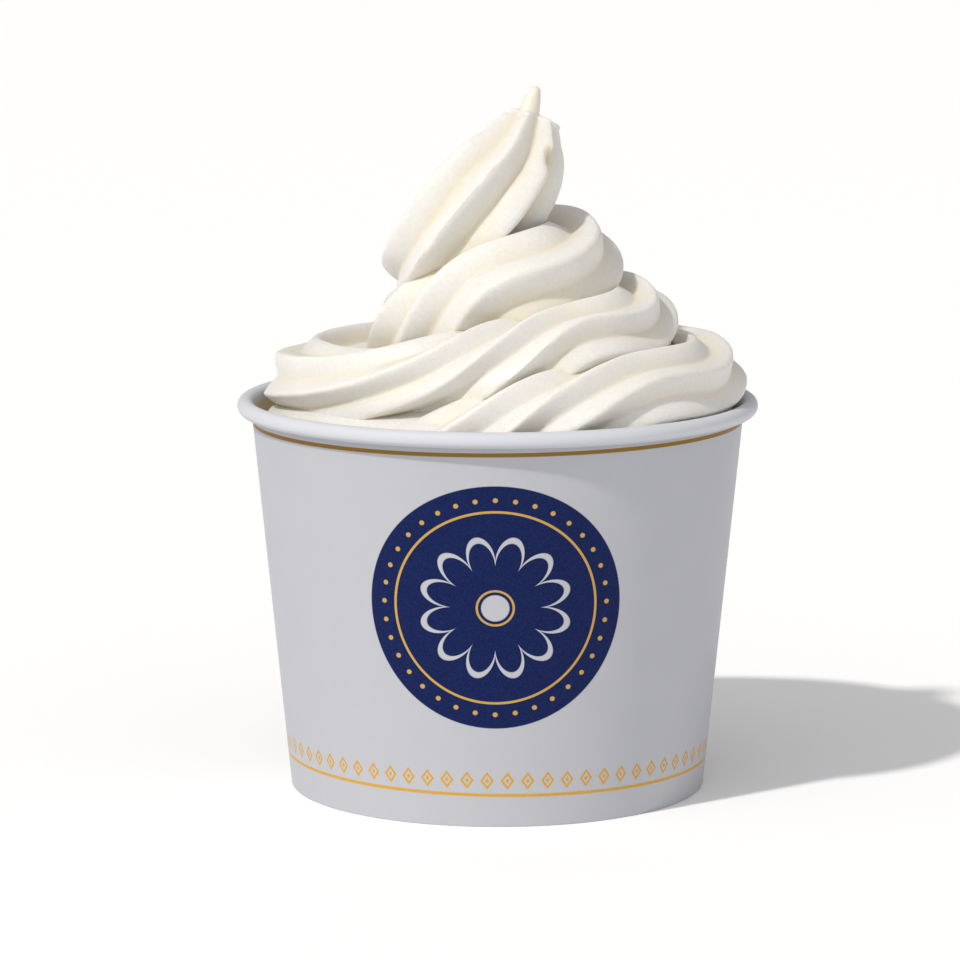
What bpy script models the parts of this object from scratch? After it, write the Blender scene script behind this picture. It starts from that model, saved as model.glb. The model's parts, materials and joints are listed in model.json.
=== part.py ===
"""A paper cup of frozen yogurt: the cup with its rolled rim, the recessed base, and the coil of yogurt.

The cup stands on z = 0 with its axis on world Z. +X is to the right and -Y is the front.
Sizes are in millimetres and become metres when a mesh is made.
"""
import math

import bmesh
import bpy
import numpy as np

MM = 0.001
TURN = 2 * math.pi
GAP = 0.3  # kept between pieces that touch
WELD = 0.001  # points closer than this are one

# Finishes: colour and roughness
PAPER_WHITE = (0.86, 0.86, 0.87), 0.5
YOGURT = (0.93, 0.91, 0.86), 0.45

# Paper cup
CUP_HEIGHT = 75.5
RIM_RADIUS = 50.0
ROLL_RADIUS = 1.55
WALL_TOP_RADIUS = 47.2
WALL_FOOT_RADIUS = 40.0
PAPER = 0.45
FOOT_ROUND = 0.2
UNDER_ROLL = 1.6  # below the roll's centre, where the wall's outer face ends
INSIDE_ROLL = 2.5  # below the roll's centre, where the wall's inner face starts
ROLL_STEPS = 12
CUP_SIDES = 72
SMOOTH_UNDER = math.radians(50)

# Lap of the wall's paper at the back
LAP_ANGLE = math.radians(90)
LAP_STEP = 0.35
LAP_FADE = math.radians(15)
LAP_EDGE = math.radians(0.3)

# Recessed base, whose flange is held in the fold at the foot of the wall
FOLD_HEIGHT = 8.4
FOLD_FLOOR = 0.55
BASE_ROUND = 0.6

# Coil of yogurt: the rope's path, turn by turn round the axis from over +X; turn 0.75 is over the front
COIL_START, COIL_END = -0.88, 2.22
COIL_STATIONS = (
    # turn, path radius, rope half width, rope half height, height of the path
    (-0.90, 34.0, 9.5, 9.5, 64.0),
    (-0.50, 34.5, 9.5, 9.5, 60.5),
    (-0.31, 36.4, 9.4, 9.6, 66.0),
    (-0.24, 36.8, 9.4, 9.6, 73.6),
    (-0.18, 37.4, 9.4, 9.6, 76.6),
    (0.00, 38.4, 9.4, 9.3, 78.7),
    (0.12, 37.0, 9.2, 9.1, 77.6),
    (0.25, 36.2, 9.5, 9.5, 77.2),
    (0.50, 35.3, 9.8, 9.5, 77.1),
    (0.62, 32.2, 9.4, 8.3, 79.5),
    (0.75, 28.8, 9.2, 9.1, 84.4),
    (1.00, 25.3, 9.4, 9.4, 89.2),
    (1.25, 21.0, 9.5, 9.5, 88.0),
    (1.50, 15.4, 9.8, 10.4, 86.2),
    (1.61, 16.0, 10.2, 10.8, 89.2),
    (1.75, 16.8, 10.4, 10.8, 96.2),
    (2.00, 14.0, 9.9, 10.1, 101.2),
    (2.30, 10.8, 9.8, 9.8, 101.8),
)
# Peak: the rope rises off the coil, leans right and tapers to the tip
PEAK_STATIONS = (
    # x, y, z, rope radius
    (-12.0, 1.0, 99.6, 10.2),
    (-11.1, -4.2, 102.4, 10.7),
    (-6.2, -6.6, 109.0, 11.6),
    (-0.9, -5.8, 115.2, 11.6),
    (3.6, -3.8, 121.2, 9.7),
    (5.4, -1.9, 125.8, 7.2),
    (6.2, -1.1, 128.0, 5.7),
    (6.6, -0.8, 129.4, 4.2),
    (6.8, -0.7, 129.9, 0.6),
)
# Small hook on the tip, where the yogurt tore off the nozzle
NUB_STATIONS = (
    # x, y, z, radius
    (3.4, -3.2, 125.0, 3.0),
    (5.0, -2.9, 128.4, 2.6),
    (6.1, -2.6, 131.0, 2.0),
    (6.6, -2.4, 133.0, 1.6),
    (6.9, -2.3, 134.1, 1.25),
    (7.0, -2.3, 134.7, 0.85),
    (7.1, -2.3, 135.0, 0.3),
)
NUB_ROWS = 10
NUB_SIDES = 12

# Flutes along the rope, and how they wind round it: most where the rope passes the front
FLUTES = 7
FLUTE_DEPTH = 0.26  # of the rope's radius, in the lower turns
UPPER_DEPTH = 0.04  # added in the upper turns and the peak
UPPER_TURNS = (1.3, 1.6)
FLUTE_SHARPNESS = 0.985  # at 1 the flutes would have flat sides and sharp edges
VALLEY_ROUND = 0.12  # at 0 the valleys would be as sharp as the crests
POINTS_PER_FLUTE = 5
WINDING_STATIONS = (
    # turn, degrees that the flutes have wound round the rope
    (-0.90, -60), (-0.40, -25), (-0.25, 2), (-0.20, 48), (-0.14, 86), (-0.06, 83), (0.00, 107), (0.08, 124),
    (0.30, 140), (0.50, 146), (0.64, 172), (0.70, 202), (0.75, 247), (0.82, 304), (0.92, 300), (1.00, 330),
    (1.30, 358), (1.57, 378), (1.65, 429), (1.74, 480), (1.86, 494), (1.97, 517), (2.10, 547), (2.22, 576),
)
PEAK_WIND = 2  # degrees, from the foot of the peak to its tip
SPREAD = 0.3  # the upper turns' flutes are this much wider on the outside
SPREAD_TURNS = (1.3, 1.5)
SPREAD_AT = 25  # degrees round the rope
SPREAD_FADE = 1 / 3  # share of the peak over which that widening fades away
STATIONS_PER_TURN = 41
PEAK_STEP = 1.7
LENGTH_TURNS = 0.65  # longest stretch of rope in one solid, short of meeting itself
PLUG_DEPTH, PLUG_SHARE = 1.5, 0.5
TIP_HEIGHT = 0.3

# Body of yogurt under the coil
FILL_RIM = 69.0
FILL_SIDES = 36
FILL_STEPS = ((44.3, 72.2), (41.5, 74.2), (36.0, 76.5), (28.0, 80.0), (20.0, 88.0), (12.0, 96.0), (0.0, 99.0))
HEART = (-2.0, 0.0, 106.0)  # fills the hollow inside the last turn of the rope
HEART_RADIUS = 8.3
HEART_SIDES = 24
HEART_POLE = 80  # degrees of latitude where the ball is cut flat
SLIVER = 0.003  # shorter edges than this are left by the fusing
ROPE_CLEARANCE = 0.9
RIM_CLEARANCE = 0.7


def wall_radius(z):
    """Outer radius of the cup's wall at a height."""
    top = CUP_HEIGHT - 2 * ROLL_RADIUS
    return WALL_FOOT_RADIUS + (WALL_TOP_RADIUS - WALL_FOOT_RADIUS) * z / top


def arc(centre_r, centre_z, radius, start, stop, steps):
    """Points (r, z) along an arc, with the angles in degrees."""
    angles = np.radians(np.linspace(start, stop, steps + 1))
    return [(centre_r + radius * math.cos(a), centre_z + radius * math.sin(a)) for a in angles]


def solid(name, rings, closed, look, origin_z=0.0):
    """Make one closed body through equally long rings of points, joined round or capped at both ends."""
    mesh = bpy.data.meshes.new(name)
    bm = bmesh.new()
    rows = [[bm.verts.new((x * MM, y * MM, (z - origin_z) * MM)) for x, y, z in ring] for ring in rings]
    pairs = list(zip(rows, rows[1:] + rows[:1])) if closed else list(zip(rows, rows[1:]))
    for low, high in pairs:
        for i in range(len(low)):
            j = (i + 1) % len(low)
            bm.faces.new((low[i], low[j], high[j], high[i]))
    if not closed:
        bm.faces.new(rows[0])
        bm.faces.new(rows[-1])
    bmesh.ops.remove_doubles(bm, verts=bm.verts, dist=WELD * MM)
    on_axis = [edge for edge in bm.edges if not edge.link_faces]
    bmesh.ops.delete(bm, geom=on_axis, context="EDGES")
    bmesh.ops.recalc_face_normals(bm, faces=bm.faces)
    bmesh.ops.triangulate(bm, faces=bm.faces)
    bm.to_mesh(mesh)
    bm.free()
    mesh.shade_smooth()
    mesh.set_sharp_from_angle(angle=SMOOTH_UNDER)
    mesh.materials.append(finish(name, *look))
    obj = bpy.data.objects.new(name, mesh)
    obj.location.z = origin_z * MM
    bpy.context.scene.collection.objects.link(obj)
    return obj


def finish(name, colour, roughness):
    """Plain material of one colour."""
    material = bpy.data.materials.new(name)
    material.use_nodes = True
    shader = material.node_tree.nodes["Principled BSDF"]
    shader.inputs["Base Color"].default_value = (*colour, 1.0)
    shader.inputs["Roughness"].default_value = roughness
    shader.inputs["Metallic"].default_value = 0.0
    return material


def turned(profile, angles, swell=None):
    """Rings of a profile (r, z) carried round the axis; swell adds to a point's radius at an angle."""
    rings = []
    for a in angles:
        ring = []
        for i, (r, z) in enumerate(profile):
            radius = r + (swell(i, a) if swell else 0.0)
            ring.append((radius * math.cos(a), radius * math.sin(a), z))
        rings.append(ring)
    return rings


def even_angles(count):
    """Angles of a full turn in equal steps."""
    return [TURN * i / count for i in range(count)]


def cup_angles():
    """Even steps round the cup, with one more beside the lap so that its edge is crisp."""
    return sorted(even_angles(CUP_SIDES) + [LAP_ANGLE - LAP_EDGE])


def cup_wall():
    """Side wall with the rolled rim on top and its foot folded in and up round the base's flange."""
    roll_r, roll_z = RIM_RADIUS - ROLL_RADIUS, CUP_HEIGHT - ROLL_RADIUS
    meets_wall = math.degrees(math.acos((WALL_TOP_RADIUS - roll_r) / ROLL_RADIUS))
    slot = PAPER + 2 * GAP
    fold_out = PAPER + slot
    fold_in = fold_out + PAPER
    outside = [
        (WALL_FOOT_RADIUS - FOOT_ROUND, 0.0),
        (wall_radius(FOOT_ROUND), FOOT_ROUND),
        (wall_radius(FOLD_HEIGHT), FOLD_HEIGHT),
        (wall_radius(roll_z - UNDER_ROLL), roll_z - UNDER_ROLL),
    ]
    roll = arc(roll_r, roll_z, ROLL_RADIUS, -meets_wall, 180, ROLL_STEPS)
    inside = [
        (wall_radius(roll_z - INSIDE_ROLL) - PAPER, roll_z - INSIDE_ROLL),
        (wall_radius(FOLD_HEIGHT) - PAPER, FOLD_HEIGHT),
        (wall_radius(FOLD_FLOOR) - PAPER, FOLD_FLOOR),
        (wall_radius(FOLD_FLOOR) - fold_out, FOLD_FLOOR),
        (wall_radius(FOLD_HEIGHT) - fold_out, FOLD_HEIGHT),
        (wall_radius(FOLD_HEIGHT) - fold_in, FOLD_HEIGHT),
        (wall_radius(FOOT_ROUND) - fold_in, FOOT_ROUND),
        (WALL_FOOT_RADIUS - fold_in + FOOT_ROUND, 0.0),
    ]

    def lap(index, angle):
        past = (angle - LAP_ANGLE) / LAP_FADE
        return LAP_STEP * (1 - past) if index < len(outside) and 0 <= past < 1 else 0.0

    rings = turned(outside + roll + inside, cup_angles(), lap)
    return solid("cup_wall", rings, True, PAPER_WHITE)


def cup_base():
    """Disc that closes the cup above its foot, with a flange turned down into the fold of the wall."""
    outer = PAPER + GAP
    inner = outer + PAPER
    under = FOLD_HEIGHT + GAP
    top = under + PAPER
    profile = [(0.0, top)]
    profile.append((wall_radius(top) - outer - BASE_ROUND, top))
    profile.append((wall_radius(top - BASE_ROUND) - outer, top - BASE_ROUND))
    profile.append((wall_radius(FOLD_FLOOR + GAP) - outer, FOLD_FLOOR + GAP))
    profile.append((wall_radius(FOLD_FLOOR + GAP) - inner, FOLD_FLOOR + GAP))
    profile.append((wall_radius(under) - inner, under))
    profile.append((0.0, under))
    return solid("cup_base", turned(profile, cup_angles()), True, PAPER_WHITE, under)


def through(stations, at):
    """Smooth curve through rows of (parameter, values), read at the parameters asked for."""
    table = np.array(stations, float)
    x, rows = table[:, 0], table[:, 1:]
    step = np.diff(x)[:, None]
    chord = np.diff(rows, axis=0) / step
    inner = (chord[:-1] * step[1:] + chord[1:] * step[:-1]) / (step[1:] + step[:-1])
    slope = np.vstack([chord[:1], inner, chord[-1:]])
    i = np.clip(np.searchsorted(x, at) - 1, 0, len(x) - 2)
    s = ((at - x[i]) / (x[i + 1] - x[i]))[:, None]
    rise = s * s * (3 - 2 * s)
    return (
        rows[i] * (1 - rise)
        + rows[i + 1] * rise
        + step[i] * slope[i] * s * (1 - s) ** 2
        - step[i] * slope[i + 1] * s * s * (1 - s)
    )


def rope_path():
    """Centre, half width, half height, turn and share of the peak at each station of the rope."""
    turns = np.arange(COIL_START, COIL_END, 1 / STATIONS_PER_TURN)
    radius, width, height, z = through(COIL_STATIONS, turns).T
    x = radius * np.cos(TURN * turns)
    y = radius * np.sin(TURN * turns)
    coil = np.column_stack([x, y, z, width, height])
    peak = np.array(PEAK_STATIONS)[:, [0, 1, 2, 3, 3]]
    joined = np.vstack([coil[-2:], peak])
    run = np.concatenate([[0], np.cumsum(np.linalg.norm(np.diff(joined[:, :3], axis=0), axis=1))])
    along = np.append(np.arange(run[1] + PEAK_STEP, run[-1], PEAK_STEP), run[-1])
    rise = through(np.column_stack([run, joined]), along)
    share = (along - run[1]) / (run[-1] - run[1])
    all_turns = np.append(turns, np.full(len(share), turns[-1]))
    return np.vstack([coil, rise]), all_turns, np.append(np.zeros(len(turns)), share)


def winding(turns, share):
    """How far the flutes have wound round the rope, in radians."""
    return np.radians(through(WINDING_STATIONS, turns)[:, 0] + PEAK_WIND * share)


def spreading(turns, share):
    """How much the flutes widen on the outer side of the rope."""
    return np.interp(turns, SPREAD_TURNS, (0.0, SPREAD)) * (1 - np.clip(share / SPREAD_FADE, 0, 1))


def flute_depth(turns):
    """How deep the flutes are, as a share of the rope's radius."""
    return FLUTE_DEPTH + np.interp(turns, UPPER_TURNS, (0.0, UPPER_DEPTH))


def flute_shape():
    """Angles round the rope, evenly spaced, and how near each of them is to a valley's floor."""
    count = FLUTES * POINTS_PER_FLUTE
    around = TURN * np.arange(count) / count
    flattest = math.acos(FLUTE_SHARPNESS)
    valley = (np.arccos(np.cos(FLUTES * around) * FLUTE_SHARPNESS) - flattest) / (math.pi - 2 * flattest)
    valley = (valley - VALLEY_ROUND * valley**4) / (1 - VALLEY_ROUND)
    return around, valley


def keep_in_cup(point):
    """Draw a point of the rope in from the cup's wall and from its roll, where it would meet them."""
    x, y, z = point
    roll_r, roll_z, clear = RIM_RADIUS - ROLL_RADIUS, CUP_HEIGHT - ROLL_RADIUS, ROLL_RADIUS + RIM_CLEARANCE
    if z < roll_z:
        limit = min(wall_radius(z) - PAPER - ROPE_CLEARANCE, roll_r - clear)
    elif z < roll_z + clear:
        limit = roll_r - math.sqrt(clear**2 - (z - roll_z) ** 2)
    else:
        limit = RIM_RADIUS
    scale = min(1.0, limit / max(math.hypot(x, y), limit))
    return x * scale, y * scale, z


def rope_rings():
    """Fluted rings of the rope, whose points follow the flutes so that each crest is one line of edges."""
    path, turns, share = rope_path()
    centre = path[:, :3]
    ahead = np.gradient(centre, axis=0)
    ahead /= np.linalg.norm(ahead, axis=1)[:, None]
    wound = winding(turns, share)
    spread = spreading(turns, share)
    depth = flute_depth(turns)
    around, valley = flute_shape()
    rings = []
    out = np.zeros(3)
    for i, (point, way) in enumerate(zip(path, ahead)):
        if share[i] == 0:
            out = np.array([math.cos(TURN * turns[i]), math.sin(TURN * turns[i]), 0.0])
        out = out - out.dot(way) * way
        out /= np.linalg.norm(out)
        up = np.cross(out, way)
        angle = around + wound[i]
        angle = angle + spread[i] * np.sin(angle - math.radians(SPREAD_AT))
        lobe = 1 - depth[i] * valley
        side = np.outer(point[3] * np.cos(angle) * lobe, out) + np.outer(point[4] * np.sin(angle) * lobe, up)
        rings.append((centre[i], way, side))
    return rings


def rope_length(name, rings, last):
    """One solid stretch of rope, with a small plug past each end that sinks into the next stretch."""
    first_centre, first_way, first_side = rings[0]
    last_centre, last_way, last_side = rings[-1]
    lip = first_centre - first_way * PLUG_DEPTH + first_side * PLUG_SHARE
    if last:
        end = last_centre + last_way * TIP_HEIGHT + last_side * PLUG_SHARE
    else:
        end = last_centre + last_way * PLUG_DEPTH + last_side * PLUG_SHARE
    loops = [lip] + [centre + side for centre, way, side in rings] + [end]
    return solid(name, [[keep_in_cup(p) for p in loop] for loop in loops], False, YOGURT)


def heart():
    """Ball of yogurt inside the last turn of the rope."""
    rings = []
    for r, z in arc(0.0, HEART[2], HEART_RADIUS, -HEART_POLE, HEART_POLE, HEART_SIDES // 3):
        ring = [(HEART[0] + r * math.cos(a), HEART[1] + r * math.sin(a), z) for a in even_angles(HEART_SIDES)]
        rings.append(ring)
    return solid("heart", rings, False, YOGURT)


def nub():
    """Hook on the tip, through level rings."""
    places = np.linspace(0, 1, len(NUB_STATIONS))
    rings = []
    for x, y, z, r in through(np.column_stack([places, NUB_STATIONS]), np.linspace(0, 1, NUB_ROWS)):
        rings.append([(x + r * math.cos(a), y + r * math.sin(a), z) for a in even_angles(NUB_SIDES)])
    return solid("nub", rings, False, YOGURT)


def keep_largest(mesh):
    """Fill the hollows that fusing sealed and drop loose scraps, by keeping the one outer surface."""
    bm = bmesh.new()
    bm.from_mesh(mesh)
    waiting = set(bm.verts)
    shells = []
    while waiting:
        shell = {waiting.pop()}
        newest = shell
        while newest:
            newest = {edge.other_vert(v) for v in newest for edge in v.link_edges} - shell
            shell = shell | newest
        waiting -= shell
        shells.append(shell)
    largest = max(shells, key=len)
    bmesh.ops.delete(bm, geom=[v for v in bm.verts if v not in largest], context="VERTS")
    bmesh.ops.dissolve_degenerate(bm, edges=bm.edges, dist=SLIVER * MM)
    bmesh.ops.triangulate(bm, faces=bm.faces)
    bm.to_mesh(mesh)
    bm.free()


def yogurt():
    """Yogurt from the base up to the peak: the filled cup and the coiled rope, fused to one body."""
    floor = FOLD_HEIGHT + GAP + PAPER + GAP
    side = PAPER + GAP
    profile = [(0.0, floor), (wall_radius(floor) - side - BASE_ROUND, floor)]
    profile.append((wall_radius(floor + BASE_ROUND) - side, floor + BASE_ROUND))
    profile.append((wall_radius(FILL_RIM) - side, FILL_RIM))
    profile.extend(FILL_STEPS)
    body = solid("frozen_yogurt", turned(profile, even_angles(FILL_SIDES)), True, YOGURT, floor)

    rope = rope_rings()
    per_length = round(LENGTH_TURNS * STATIONS_PER_TURN)
    stretches = bpy.data.collections.new("rope")
    pieces = [heart(), nub()]
    for start in range(0, len(rope) - 1, per_length):
        stretch = rope[start:start + per_length + 1]
        pieces.append(rope_length(f"rope_{start}", stretch, start + per_length >= len(rope) - 1))
    for piece in pieces:
        bpy.context.scene.collection.objects.unlink(piece)
        stretches.objects.link(piece)

    fuse = body.modifiers.new("fuse", "BOOLEAN")
    fuse.operation = "UNION"
    fuse.operand_type = "COLLECTION"
    fuse.collection = stretches
    fuse.solver = "MANIFOLD"
    fused = bpy.data.meshes.new_from_object(body.evaluated_get(bpy.context.evaluated_depsgraph_get()))
    body.modifiers.clear()
    keep_largest(fused)
    body.data = fused
    for piece in list(stretches.objects):
        bpy.data.objects.remove(piece)
    bpy.data.collections.remove(stretches)
    return body


for old in list(bpy.data.objects):
    bpy.data.objects.remove(old)
stand = bpy.data.objects.new("cup_of_yogurt", None)
bpy.context.scene.collection.objects.link(stand)
for part in (cup_wall(), cup_base(), yogurt()):
    part.parent = stand
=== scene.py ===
import json
import math

import bmesh
import bpy
import numpy as np
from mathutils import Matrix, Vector

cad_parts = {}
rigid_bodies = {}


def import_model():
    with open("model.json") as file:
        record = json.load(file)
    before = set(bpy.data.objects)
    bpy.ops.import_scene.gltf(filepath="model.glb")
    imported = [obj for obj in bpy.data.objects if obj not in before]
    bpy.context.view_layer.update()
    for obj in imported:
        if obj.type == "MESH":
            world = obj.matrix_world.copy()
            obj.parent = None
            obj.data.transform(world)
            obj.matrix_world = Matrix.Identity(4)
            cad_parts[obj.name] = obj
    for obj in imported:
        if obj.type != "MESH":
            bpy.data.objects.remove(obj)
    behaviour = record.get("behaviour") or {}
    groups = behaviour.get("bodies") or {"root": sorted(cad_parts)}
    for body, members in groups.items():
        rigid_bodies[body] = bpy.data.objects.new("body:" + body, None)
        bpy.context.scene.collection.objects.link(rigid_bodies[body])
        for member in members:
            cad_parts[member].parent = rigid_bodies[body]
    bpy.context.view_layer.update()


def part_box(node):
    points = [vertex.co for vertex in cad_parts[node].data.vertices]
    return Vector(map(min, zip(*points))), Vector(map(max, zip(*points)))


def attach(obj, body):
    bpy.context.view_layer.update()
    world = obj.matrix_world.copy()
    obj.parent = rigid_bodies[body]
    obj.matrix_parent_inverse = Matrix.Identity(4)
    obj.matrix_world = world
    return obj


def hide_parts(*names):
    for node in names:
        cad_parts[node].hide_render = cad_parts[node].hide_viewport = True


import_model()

# Base of the cup
# A disc of white coated board, pressed into a shallow tray. Its flange points down into the fold at the foot
# of the wall, where it is glued, so the disc stands clear of the table.

MM = 0.001  # sizes are in millimetres, and become metres as a mesh or a texture is made
TURN = 2 * math.pi
BOARD = 0.45
GAP = 0.3  # kept between pieces that touch
WELD = 0.001  # points closer than this are one
SMOOTH_UNDER = math.radians(50)
CUP_SIDES = 288
BOARD_WHITE = (0.442, 0.452, 0.488)
UNCOATED = (0.60, 0.59, 0.57)
FIBRE_SIZE, FIBRE_DEPTH = 0.35, 0.004
WAVE_SIZE, WAVE_DEPTH = 6.0, 0.02


class Wire:
    """One socket of a node tree, on which Python's operators add Math nodes."""

    def __init__(self, tree, socket=None):
        self.tree = tree
        self.socket = socket

    def node(self, kind, sockets=(), settings=(), output=0):
        """Add a node, set it up, give its sockets their values or links, and wrap one of its outputs."""
        node = self.tree.nodes.new(kind)
        for key, value in dict(settings).items():
            setattr(node, key, value)
        for key, value in dict(sockets).items():
            if isinstance(value, Wire):
                self.tree.links.new(value.socket, node.inputs[key])
            else:
                node.inputs[key].default_value = value
        return Wire(self.tree, node.outputs[output])

    def math(self, operation, *values):
        return self.node("ShaderNodeMath", enumerate(values), {"operation": operation})

    def clip(self, low, high, to_low=0.0, to_high=1.0):
        """Carry low..high to to_low..to_high and hold the ends."""
        return self.node("ShaderNodeMapRange", {0: self, 1: low, 2: high, 3: to_low, 4: to_high})

    def above(self, edge, soft):
        """0 below the edge and 1 above it, with a step that reaches soft to either side."""
        return self.clip(edge - soft, edge + soft)

    def below(self, edge, soft):
        """1 below the edge and 0 above it, with the same step."""
        return self.clip(edge - soft, edge + soft, 1.0, 0.0)

    def blend(self, first, second):
        """First colour where the mask is 0, second where it is 1."""
        first, second = (colour if isinstance(colour, Wire) else (*colour, 1.0) for colour in (first, second))
        return self.node("ShaderNodeMix", {0: self, 6: first, 7: second}, {"data_type": "RGBA"}, 2)

    def __add__(self, other):
        return self.math("ADD", self, other)

    def __radd__(self, other):
        return self.math("ADD", other, self)

    def __sub__(self, other):
        return self.math("SUBTRACT", self, other)

    def __rsub__(self, other):
        return self.math("SUBTRACT", other, self)

    def __mul__(self, other):
        return self.math("MULTIPLY", self, other)

    def __rmul__(self, other):
        return self.math("MULTIPLY", other, self)

    def __truediv__(self, other):
        return self.math("DIVIDE", self, other)


def shader(name, **constants):
    """Start a material: its Principled shader with the values that are the same all over, and its tree."""
    material = bpy.data.materials.new(name)
    material.use_nodes = True
    surface = material.node_tree.nodes["Principled BSDF"]
    for label, value in constants.items():
        surface.inputs[label.replace("_", " ")].default_value = value
    return material, surface, Wire(material.node_tree)


def feed(surface, **sockets):
    """Link what varies over the surface into the shader."""
    for label, value in sockets.items():
        value.tree.links.new(value.socket, surface.inputs[label.replace("_", " ")])


def noise(wire, place, size, detail, roughness=0.5):
    """Noise with spots of about the given size in millimetres."""
    sockets = {"Vector": place, "Scale": 1 / (size * MM), "Detail": detail, "Roughness": roughness}
    return wire.node("ShaderNodeTexNoise", sockets)


def board_bump(wire, place, fine=1.0):
    """Coated board's faint unevenness: fibres under the coating and a slow waviness."""
    fibres = noise(wire, place, FIBRE_SIZE, 2.0)
    waves = noise(wire, place, WAVE_SIZE, 1.0)
    height = fibres * (FIBRE_DEPTH * MM * fine) + waves * (WAVE_DEPTH * MM)
    return wire.node("ShaderNodeBump", {"Height": height, "Strength": 1.0, "Distance": 1.0})


def mesh_piece(name, mesh, material, node):
    """Put a finished mesh in the scene in place of a solid of the cup."""
    piece = bpy.data.objects.new(name, mesh)
    bpy.context.scene.collection.objects.link(piece)
    mesh.materials.clear()
    mesh.materials.append(material)
    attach(piece, "root")
    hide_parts(node)


def arc(centre_r, centre_z, radius, start, stop, steps):
    """Points (r, z) along an arc, with the angles in degrees."""
    angles = np.radians(np.linspace(start, stop, steps + 1))
    return [(centre_r + radius * math.cos(a), centre_z + radius * math.sin(a)) for a in angles]


def turned(name, profile, angles, shift=None):
    """Closed mesh of a profile (r, z) carried round the axis; shift gives how far out a point moves."""
    bm = bmesh.new()
    rings = []
    for a in angles:
        ring = []
        for i, (r, z) in enumerate(profile):
            radius = r + (shift(i, a) if shift else 0.0)
            ring.append(bm.verts.new(Vector((radius * math.cos(a), radius * math.sin(a), z)) * MM))
        rings.append(ring)
    for near, far in zip(rings, rings[1:] + rings[:1]):
        for i in range(len(profile)):
            j = (i + 1) % len(profile)
            bm.faces.new((near[i], far[i], far[j], near[j]))
    bmesh.ops.remove_doubles(bm, verts=bm.verts, dist=WELD * MM)
    loose = [edge for edge in bm.edges if not edge.link_faces]
    bmesh.ops.delete(bm, geom=loose, context="EDGES")
    bmesh.ops.recalc_face_normals(bm, faces=bm.faces)
    mesh = bpy.data.meshes.new(name)
    bm.to_mesh(mesh)
    bm.free()
    mesh.shade_smooth()
    mesh.set_sharp_from_angle(angle=SMOOTH_UNDER)
    return mesh


def even_angles(count):
    """Angles of a full turn in equal steps."""
    return [TURN * i / count for i in range(count)]


wall_high = np.array(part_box("cup_wall")[1]) / MM
base_low, base_high = (np.array(corner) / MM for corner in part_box("cup_base"))

CUP_HEIGHT = wall_high[2]
ROLL_RADIUS = 1.55
WALL_TOP_RADIUS = 47.2
WALL_FOOT_RADIUS = 40.0
BASE_TOP = base_high[2]
BASE_ROUND = 0.6
BASE_ROUND_STEPS = 5
FLAT_RADIUS = 20.0  # a ring of points on the flat of the disc


def wall_radius(z):
    """Outer radius of the cup's wall at a height."""
    top = CUP_HEIGHT - 2 * ROLL_RADIUS
    return WALL_FOOT_RADIUS + (WALL_TOP_RADIUS - WALL_FOOT_RADIUS) * z / top


within = BOARD + GAP  # from the wall's outer face in to whatever stands inside it
under = BASE_TOP - BOARD
base_profile = [(0.0, BASE_TOP), (FLAT_RADIUS, BASE_TOP)]
top_round_r = wall_radius(BASE_TOP) - within - BASE_ROUND
base_profile += arc(top_round_r, BASE_TOP - BASE_ROUND, BASE_ROUND, 90, 0, BASE_ROUND_STEPS)
base_profile += [(wall_radius(base_low[2]) - within, base_low[2])]
base_profile += [(wall_radius(base_low[2]) - within - BOARD, base_low[2])]
under_round_r = wall_radius(under) - within - BOARD - BASE_ROUND
base_profile += arc(under_round_r, under - BASE_ROUND, BASE_ROUND, 0, 90, BASE_ROUND_STEPS)
base_profile += [(FLAT_RADIUS, under), (0.0, under)]
base_mesh = turned("base", base_profile, even_angles(CUP_SIDES))

base_board, surface, wire = shader("base board", Roughness=0.62)
place = wire.node("ShaderNodeTexCoord", output=3)
mottle = noise(wire, place, 2.5, 4.0).clip(0.35, 0.7)
feed(surface, Base_Color=mottle.blend(BOARD_WHITE, UNCOATED), Normal=board_bump(wire, place, fine=2.0))
mesh_piece("cup_base_board", base_mesh, base_board, "cup_base")

# Wall of the cup
# One fan-shaped blank of printed board, wound round and glued in an upright lap at the back. Its top edge is
# rolled outwards into the rim, and its foot is folded in and up round the base's flange.

RIM_RADIUS = wall_high[0]
LAP_ANGLE = math.radians(90)
LAP_STEP = 0.35
LAP_FADE = math.radians(15)
LAP_EDGE = math.radians(0.25)  # how far before the lap an extra column of points keeps its edge crisp
FOLD_HEIGHT = 8.4
FOLD_FLOOR = 0.55
FOOT_ROUND = 0.2
FOOT_ROUND_STEPS = 4
UNDER_ROLL = 1.6  # below the roll's centre, where the wall's outer face ends
INSIDE_ROLL = 2.5  # below the roll's centre, where the wall's inner face starts
FIRST_ROW = 1.0  # height of the outer face's lowest row of points
OUTSIDE_ROWS, INSIDE_ROWS = 30, 16
ROLL_STEPS = 28
ROLL_SEAM_DIP = 0.25  # share of the lap's step by which the roll's outer half dips in beside it

roll_r = RIM_RADIUS - ROLL_RADIUS
roll_z = CUP_HEIGHT - ROLL_RADIUS
meets_wall = math.degrees(math.acos((WALL_TOP_RADIUS - roll_r) / ROLL_RADIUS))
fold_out = 2 * BOARD + 2 * GAP
fold_in = fold_out + BOARD

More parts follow.
